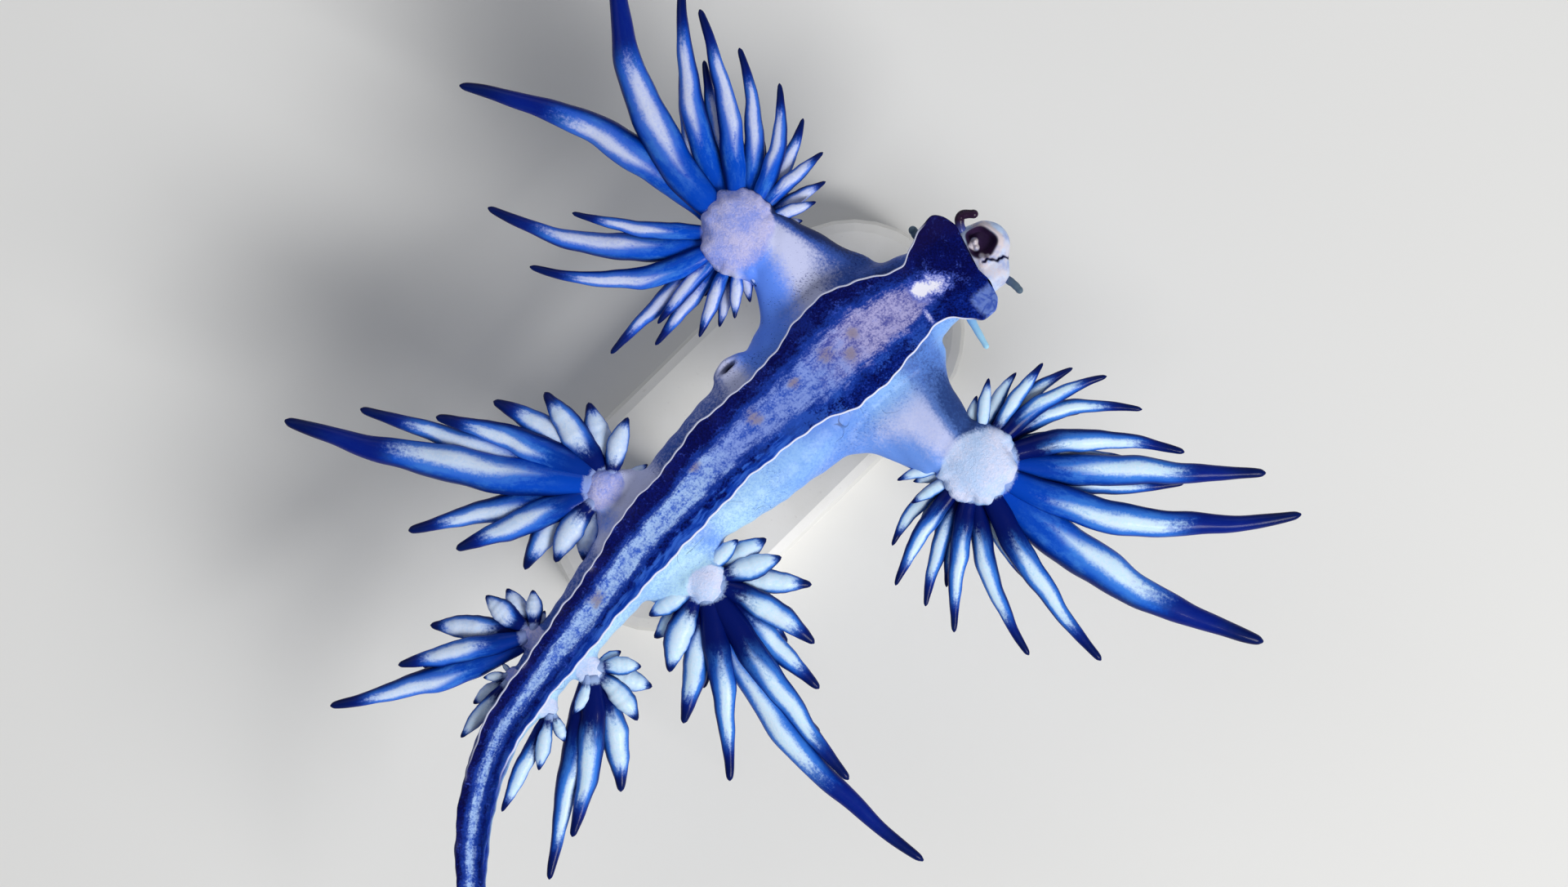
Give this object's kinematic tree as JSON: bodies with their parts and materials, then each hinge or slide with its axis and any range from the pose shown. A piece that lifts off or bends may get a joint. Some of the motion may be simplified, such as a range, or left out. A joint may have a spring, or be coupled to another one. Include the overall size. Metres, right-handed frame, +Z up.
{
  "type": "blue dragon sea slug",
  "caption": "Life-size blue dragon sea slug, belly up as it floats, with spread fans of blue finger-like cerata, held by a plain display stand.",
  "frame": {"origin": "middle of the stand's flat underside, on the surface that it stands on", "axes": "+Z up, towards the sole of the foot, which faces up; the head points towards +X and +Y, and the animal's right side faces -X and +Y"},
  "size_m": [0.0394, 0.0414, 0.014],
  "materials": {
    "skin": "moist silvery lilac-blue skin with fine navy speckles",
    "sole": "moist navy bands beside a lilac-silver middle band, with a thin white rim",
    "head": "pale blue-white snout with a dark maroon mouth and feelers",
    "cerata": "glossy blue with a silver-white band down the middle and navy tips",
    "stand": "plain off-white satin",
    "rod": "fine brushed steel"
  },
  "bodies": {
    "root": {"neck": "skin", "trunk_front": "skin", "trunk_middle": "skin", "trunk_rear": "skin", "tail_root": "skin", "tail_middle": "skin", "tail_tip": "skin", "arm_front_right": "skin", "arm_front_left": "skin", "arm_middle_right": "skin", "arm_middle_left": "skin", "genital_papilla": "skin", "foot_front": "sole", "foot_middle": "sole", "foot_rear": "sole", "foot_tail": "sole", "head": "head", "oral_tentacle_right": "head", "oral_tentacle_left": "head", "rhinophore_right": "head", "rhinophore_left": "head", "cerata_front_right": "cerata", "cerata_front_left": "cerata", "cerata_middle_right": "cerata", "cerata_middle_left": "cerata", "cerata_rear_right": "cerata", "cerata_rear_left": "cerata", "cerata_last_right": "cerata", "cerata_last_left": "cerata", "stand_base": "stand", "stand_rod_front": "rod", "stand_rod_rear": "rod"}
  },
  "joints": []
}
